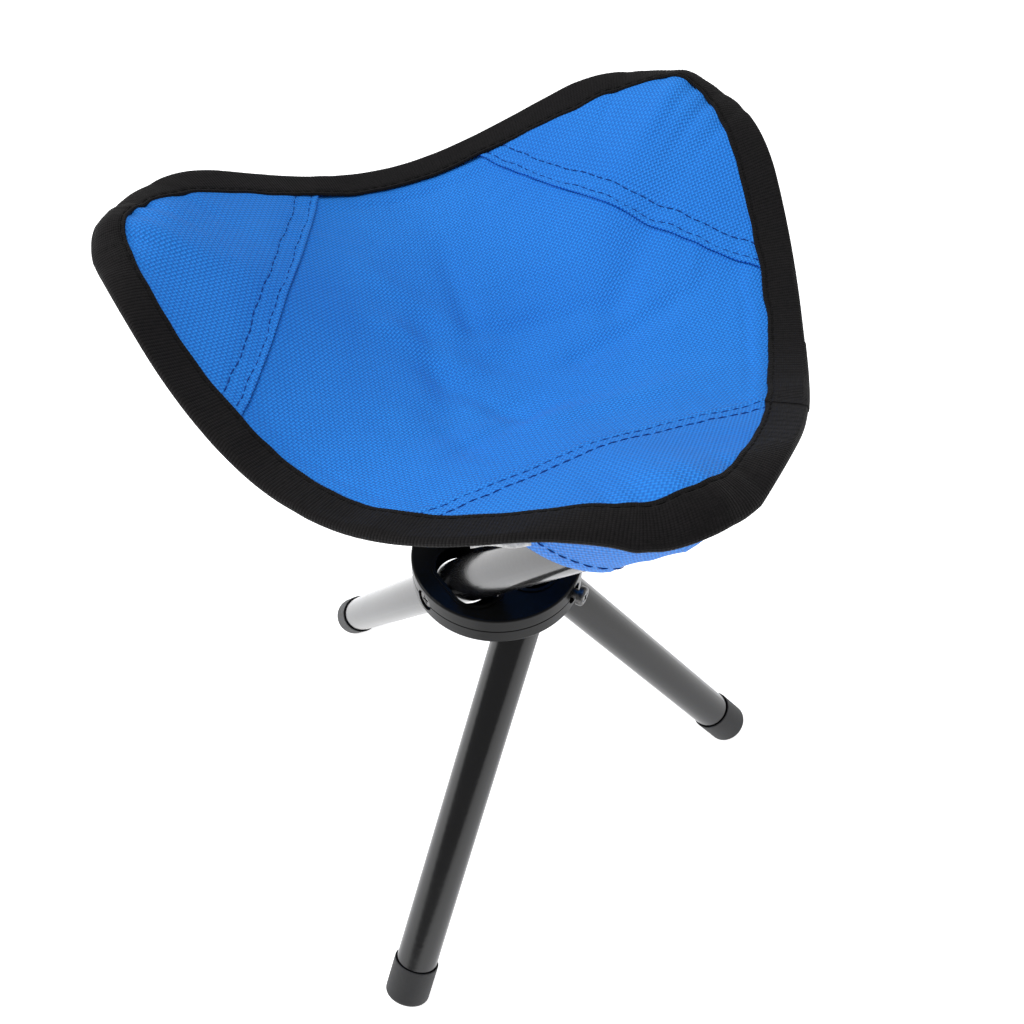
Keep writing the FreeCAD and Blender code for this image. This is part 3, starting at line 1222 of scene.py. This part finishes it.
def weave(m, x, y, pitch):
    """Height of a plain weave: threads over and under each other."""
    k = 2 * math.pi / pitch
    sx = m.math("SINE", m.math("MULTIPLY", x, k))
    sy = m.math("SINE", m.math("MULTIPLY", y, k))
    cx = m.math("ABSOLUTE", m.math("SINE", m.math("MULTIPLY", x, k / 2)))
    cy = m.math("ABSOLUTE", m.math("SINE", m.math("MULTIPLY", y, k / 2)))
    over = m.math("MULTIPLY", sx, sy)
    crowns = m.math("ADD", m.math("MULTIPLY", cx, 0.25), m.math("MULTIPLY", cy, 0.25))
    return m.math("ADD", m.math("MULTIPLY", over, 0.5), crowns)


def blue_cloth():
    m = Nodes("blue_cloth")
    vec, x, y = cloth_coordinates(m)
    h = weave(m, x, y, WEAVE_PITCH)
    coords = m.add("ShaderNodeTexCoord").outputs["Object"]
    fade = m.noise(coords, 22.0, 4.0)
    slub = m.noise(vec, 1500.0, 2.0)
    tone = m.ramp(fade, [(0.3, (0.012, 0.25, 0.86)), (0.7, (0.02, 0.31, 0.96))])
    # Painted shade: the colour is mixed towards a dark blue where the weave height is low, so the hollows between and
    # under the threads are painted darker.
    weave_painted_shade = m.mix(m.math("MULTIPLY", m.math("SUBTRACT", 1.0, h), 0.8), tone, (0.004, 0.10, 0.46))
    m.link(m.mix(m.math("MULTIPLY", slub, 0.10), weave_painted_shade, (0.05, 0.33, 0.92)), m.shader.inputs["Base Color"])
    m.link(m.math("ADD", 0.52, m.math("MULTIPLY", slub, 0.16)), m.shader.inputs["Roughness"])
    first = m.bump(m.noise(coords, 260.0, 3.0), 0.12, 0.0006)
    m.link(m.bump(h, 1.0, 0.0003, first), m.shader.inputs["Normal"])
    m.shader.inputs["Sheen Weight"].default_value = 0.06
    m.shader.inputs["Sheen Roughness"].default_value = 0.45
    m.shader.inputs["Specular IOR Level"].default_value = 0.22
    return m.mat


def tape_cloth():
    m = Nodes("black_tape")
    vec, x, y = cloth_coordinates(m)
    ribs = m.math("ABSOLUTE", m.math("SINE", m.math("MULTIPLY", x, math.pi / RIB_PITCH)))
    fine = m.math("ABSOLUTE", m.math("SINE", m.math("MULTIPLY", y, math.pi / TAPE_THREAD_PITCH)))
    h = m.math("ADD", m.math("MULTIPLY", ribs, 0.65), m.math("MULTIPLY", fine, 0.35))
    coords = m.add("ShaderNodeTexCoord").outputs["Object"]
    fuzz = m.noise(coords, 900.0, 3.0)
    tone = m.ramp(fuzz, [(0.35, (0.002, 0.0018, 0.002)), (0.75, (0.007, 0.006, 0.0065))])
    # Painted shade: the colour follows the ribs' and threads' height, so it is lighter on their crowns and painted
    # darker in the grooves between them.
    m.link(m.mix(m.math("MULTIPLY", h, 0.3), tone, (0.013, 0.012, 0.0125)), m.shader.inputs["Base Color"])
    m.link(m.math("ADD", 0.72, m.math("MULTIPLY", fuzz, 0.15)), m.shader.inputs["Roughness"])
    first = m.bump(fuzz, 0.4, 0.0003)
    m.link(m.bump(h, 0.8, 0.0003, first), m.shader.inputs["Normal"])
    m.shader.inputs["Sheen Weight"].default_value = 0.03
    m.shader.inputs["Sheen Roughness"].default_value = 0.5
    m.shader.inputs["Specular IOR Level"].default_value = 0.12
    return m.mat


def thread(name, colour, light):
    m = Nodes(name)
    coords = m.add("ShaderNodeTexCoord").outputs["Object"]
    n = m.noise(coords, 2500.0, 2.0)
    m.link(m.ramp(n, [(0.3, colour), (0.7, light)]), m.shader.inputs["Base Color"])
    m.link(m.bump(n, 0.5, 0.0001), m.shader.inputs["Normal"])
    m.shader.inputs["Roughness"].default_value = 0.8
    m.shader.inputs["Specular IOR Level"].default_value = 0.1
    return m.mat


def painted_tube():
    m = Nodes("gloss_black_paint")
    coords = m.add("ShaderNodeTexCoord").outputs["Object"]
    peel = m.noise(coords, 420.0, 2.0)
    dust = m.noise(coords, 60.0, 6.0, 0.7)
    fine = m.noise(coords, 700.0, 2.0)
    speck = m.ramp(fine, [(0.70, (0.003, 0.003, 0.0035)), (0.78, (0.015, 0.015, 0.016))])
    m.link(speck, m.shader.inputs["Base Color"])
    m.link(m.math("ADD", 0.07, m.math("MULTIPLY", dust, 0.14)), m.shader.inputs["Roughness"])
    m.link(m.bump(peel, 0.05, 0.0004), m.shader.inputs["Normal"])
    m.shader.inputs["IOR"].default_value = 1.52
    return m.mat


def moulded(name, colour, light, rough, grain=900.0, depth=0.15, shine=0.5):
    m = Nodes(name)
    coords = m.add("ShaderNodeTexCoord").outputs["Object"]
    fine = m.noise(coords, grain, 3.0)
    broad = m.noise(coords, 45.0, 4.0)
    m.link(m.ramp(broad, [(0.3, colour), (0.75, light)]), m.shader.inputs["Base Color"])
    m.link(m.math("ADD", rough, m.math("MULTIPLY", broad, 0.15)), m.shader.inputs["Roughness"])
    m.link(m.bump(fine, depth, 0.0003), m.shader.inputs["Normal"])
    m.shader.inputs["Specular IOR Level"].default_value = shine
    return m.mat


def steel():
    m = Nodes("black_steel")
    coords = m.add("ShaderNodeTexCoord").outputs["Object"]
    n = m.noise(coords, 800.0, 3.0)
    tone = m.ramp(n, [(0.35, (0.05, 0.05, 0.052)), (0.7, (0.16, 0.155, 0.15))])
    m.link(tone, m.shader.inputs["Base Color"])
    m.shader.inputs["Metallic"].default_value = 0.9
    m.link(m.math("ADD", 0.26, m.math("MULTIPLY", n, 0.2)), m.shader.inputs["Roughness"])
    m.link(m.bump(n, 0.15, 0.0002), m.shader.inputs["Normal"])
    return m.mat


def satin_label():
    m = Nodes("label_satin")
    vec, x, y = cloth_coordinates(m)
    coords = m.add("ShaderNodeTexCoord").outputs["Object"]
    n = m.noise(coords, 1200.0, 2.0)
    m.link(m.ramp(n, [(0.3, (0.5, 0.5, 0.52)), (0.7, (0.8, 0.8, 0.8))]), m.shader.inputs["Base Color"])
    m.link(m.bump(n, 0.4, 0.0002), m.shader.inputs["Normal"])
    m.shader.inputs["Roughness"].default_value = 0.35
    return m.mat


BLUE = blue_cloth()
TAPE = tape_cloth()
NAVY = thread("blue_thread", (0.006, 0.03, 0.17), (0.012, 0.06, 0.30))
BLACK = thread("black_thread", (0.003, 0.003, 0.003), (0.009, 0.009, 0.009))
PAINT = painted_tube()
RUBBER = moulded("cap_rubber", (0.012, 0.012, 0.013), (0.022, 0.022, 0.023), 0.55, 1100.0, 0.25)
HUB = moulded("hub_plastic", (0.003, 0.003, 0.003), (0.006, 0.006, 0.006), 0.22, 1500.0, 0.06, 0.15)
PLUG = moulded("plug_plastic", (0.01, 0.01, 0.011), (0.018, 0.018, 0.019), 0.45)
STEEL = steel()
LABEL = satin_label()


def dress(obj, mat):
    obj.data.materials.clear()
    obj.data.materials.append(mat)


def dress_node(name, mat):
    obj = bpy.data.objects[name]
    for slot in obj.material_slots:
        slot.material = mat


for k in LEGS:
    dress_node("leg_tube_" + k, PAINT)
    dress_node("foot_cap_" + k, RUBBER)
    dress_node("top_plug_" + k, PLUG)
    dress_node("pivot_screw_" + k, STEEL)
    for piece in (panels[k], patches[k], pockets[k]):
        dress(piece, BLUE)
    dress(threads[k], NAVY)
    dress(hem_threads[k], NAVY)
    dress(bindings[k], TAPE)
    dress(edge_threads[k], BLACK)
for piece in ends:
    dress(piece, BLACK)
dress(lap, TAPE)
for name in ("hub_upper", "hub_lower"):
    dress_node(name, HUB)
dress(label, LABEL)

# ------------------------------------------------------------------ bodies

bpy.data.objects.remove(top)
BLEND_FROM = 50.0
BLEND_TO = 92.0

# Each cut's flat size comes from the CAD nodes: the area of the node's upper face, and for the
# upper layer the strip of cloth that the tape hides, which the CAD nodes leave out.
TAPE_CUT_WIDTH = 0.025
LABEL_FLAT_DEPTH = 0.010
HIDDEN = BINDING - 2.5
POCKET_FULLNESS = 1.2

# Wider than the sling on either side, so that a whole third of its edge lies between them
ALL_FROM = -200
ALL_TO = 200


def face_area(node):
    """Area of a CAD sheet's upper face, in square metres."""
    return sum(f.area for f in bpy.data.objects[node].data.polygons if f.normal.z > 0)


def rim_length(k, low, high):
    """Length of the sling's edge in corner k's third, where d lies between low and high."""
    first = LEGS.index(k) * RIM_STEPS
    total = 0.0
    for i in range(first, first + RIM_STEPS):
        step = RIM[(i + 1) % RIM_COUNT] - RIM[i]
        if low <= RIM[i].dot(U[k]) < high:
            total += step.length
    return total


def seam_width(k):
    return max(p.dot(T[k]) for p in RIM if p.dot(U[k]) > SEAM[k]) * 2


def panel_cut(k):
    """A third of the panel, with the strip in the tape and the seam allowance under the corner."""
    area = face_area("seat_panel") / 3 + rim_length(k, ALL_FROM, SEAM[k]) * HIDDEN * MM * MM
    area += seam_width(k) * SEAM_ALLOWANCE * MM * MM
    wide = 2 * SIDE_REACH[k] * math.sin(math.radians(60))
    return {"flat": (wide * MM, (SEAM[k] + SEAM_ALLOWANCE) * MM), "area": area}


def patch_cut(k):
    area = face_area("corner_patch_" + k) + rim_length(k, SEAM[k], ALL_TO) * HIDDEN * MM * MM
    return {"flat": (seam_width(k) * MM, (CORNER_REACH[k] - SEAM[k]) * MM), "area": area}


def pocket_cut(k):
    node = "pocket_" + k
    area = face_area(node)
    wide = (reach_of(node, T[k]) + reach_of(node, -T[k])) * MM
    deep = (reach_of(node, U[k]) + reach_of(node, -U[k])) * MM
    return {"flat": (wide, max(deep, POCKET_FULLNESS * area / wide)), "area": area}


def tape_cut(k):
    return {"flat": (rim_length(k, ALL_FROM, ALL_TO) * MM, TAPE_CUT_WIDTH)}


def label_cut():
    """The tag is under 10 mm deep, the least a flat size may be, so its area is given as well."""
    low, high = (Vector(v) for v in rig.box("care_label"))
    wide = (Vector((high.x, high.y, 0)) - Vector((low.x, low.y, 0))).length
    return {"flat": (wide, LABEL_FLAT_DEPTH), "area": wide * (high.z - low.z + LABEL_TUCK)}


for k in LEGS:
    start, end = U[k] * BLEND_FROM * MM, U[k] * BLEND_TO * MM
    tapes = [bindings[k], edge_threads[k]] + ([lap] if k == "c" else [])
    cloths = [panels[k], patches[k], pockets[k], threads[k], hem_threads[k]] + (ends if k == "c" else [])
    for piece in tapes + cloths:
        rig.slot(piece, "binding_tape" if piece in tapes else "sling_cloth")
        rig.blend(piece, "hub", "leg_" + k, start=start, end=end)
    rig.replaces(panels[k], "seat_panel")
    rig.replaces(patches[k], "corner_patch_" + k)
    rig.replaces(pockets[k], "pocket_" + k)
    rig.replaces(bindings[k], "edge_binding")
    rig.sheet(
        panels[k],
        held="stretched",
        rests_on=["corner_cloth_" + k],
        with_pieces=[threads[k]],
        **panel_cut(k),
    )
    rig.sheet(patches[k], held="stretched", rests_on=["top_plug_" + k], **patch_cut(k))
    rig.sheet(
        pockets[k],
        held="stretched",
        rests_on=["leg_tube_" + k],
        with_pieces=[hem_threads[k]],
        **pocket_cut(k),
    )
    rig.sheet(
        bindings[k], held="folded", rests_on=["seat_panel"], with_pieces=[edge_threads[k]], **tape_cut(k)
    )
LAP_PLACES = range(LAP_FIRST + 1, 3 * RIM_STEPS + 1)
LAP_LENGTH = sum((RIM[i % RIM_COUNT] - RIM[i - 1]).length for i in LAP_PLACES) * MM
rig.sheet(lap, flat=(LAP_LENGTH, TAPE_CUT_WIDTH), held="folded", rests_on=["binding_c"])
# The tag is sewn to the tape beside corner c, so it goes with that corner
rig.blend(label, "hub", "leg_c", start=U["c"] * BLEND_FROM * MM, end=U["c"] * BLEND_TO * MM)
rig.slot(label, "label_tape")
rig.replaces(label, "care_label")
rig.sheet(label, held="hung", rests_on=["edge_binding"], **label_cut())

# ------------------------------------------------------------------ floor, light and camera


def lamp(name, place, size, power, aim=(0, 0, 0.2)):
    """A square soft light, aimed at the stool."""
    data = bpy.data.lights.new(name, "AREA")
    data.size = size
    data.energy = power
    obj = bpy.data.objects.new(name, data)
    bpy.context.scene.collection.objects.link(obj)
    obj.location = place
    obj.rotation_euler = (Vector(aim) - Vector(place)).to_track_quat("-Z", "Y").to_euler()


def studio():
    """A pale floor that glows like a lit white table, and soft light from above."""
    mesh = bpy.data.meshes.new("floor")
    half = 4.0
    corners = [(-half, -half, 0), (half, -half, 0), (half, half, 0), (-half, half, 0)]
    mesh.from_pydata(corners, [], [(0, 1, 2, 3)])
    floor = new_object("floor", mesh)
    m = Nodes("floor_white")
    m.shader.inputs["Base Color"].default_value = (0.9, 0.9, 0.9, 1)
    m.shader.inputs["Roughness"].default_value = 0.9
    m.shader.inputs["Specular IOR Level"].default_value = 0.1
    m.shader.inputs["Emission Color"].default_value = (1, 1, 1, 1)
    m.shader.inputs["Emission Strength"].default_value = 0.85
    mesh.materials.append(m.mat)
    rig.stage(floor)
    world = bpy.data.worlds.new("studio")
    bpy.context.scene.world = world
    world.use_nodes = True
    world.node_tree.nodes["Background"].inputs[0].default_value = (1, 1, 1, 1)
    world.node_tree.nodes["Background"].inputs[1].default_value = 0.3
    lamp("top_light", (-0.15, -0.05, 1.25), 0.8, 8.0)
    lamp("left_light", (-1.0, 0.1, 0.75), 0.5, 6.5)
    lamp("right_light", (1.0, 0.0, 0.6), 0.6, 1.2)


studio()

# The viewpoint: degrees down and round, metres from the hub, the lens in millimetres, and the
# picture's shift as shares of its width.
CAMERA_DOWN = 50.9
CAMERA_ROUND = 3.4
CAMERA_DISTANCE = 0.400
SENSOR = 36.0
LENS = 39.94
SHIFT_RIGHT = 0.0146
SHIFT_UP = 0.0498


def camera():
    """The camera, looking at the middle of the hub."""
    hub = (Vector(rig.box("hub_upper")[1]) + Vector(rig.box("hub_lower")[0])) / 2
    down, turn = math.radians(CAMERA_DOWN), math.radians(CAMERA_ROUND)
    look = Vector((math.sin(turn) * math.cos(down), math.cos(turn) * math.cos(down), -math.sin(down)))
    data = bpy.data.cameras.new("camera")
    data.sensor_width = SENSOR
    data.lens = LENS
    data.shift_x = SHIFT_RIGHT
    data.shift_y = SHIFT_UP
    data.clip_start = 0.01
    obj = bpy.data.objects.new("camera", data)
    bpy.context.scene.collection.objects.link(obj)
    obj.location = Vector((0, 0, hub.z)) - look * CAMERA_DISTANCE
    obj.rotation_euler = look.to_track_quat("-Z", "Y").to_euler()
    bpy.context.scene.camera = obj
    bpy.context.scene.view_settings.view_transform = "Standard"


camera()

json.dump({"cad": [list(map(float, c)) for c in cad_box], "visual": [list(map(float, c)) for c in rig.bounds()]},
          open("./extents.json", "w"))
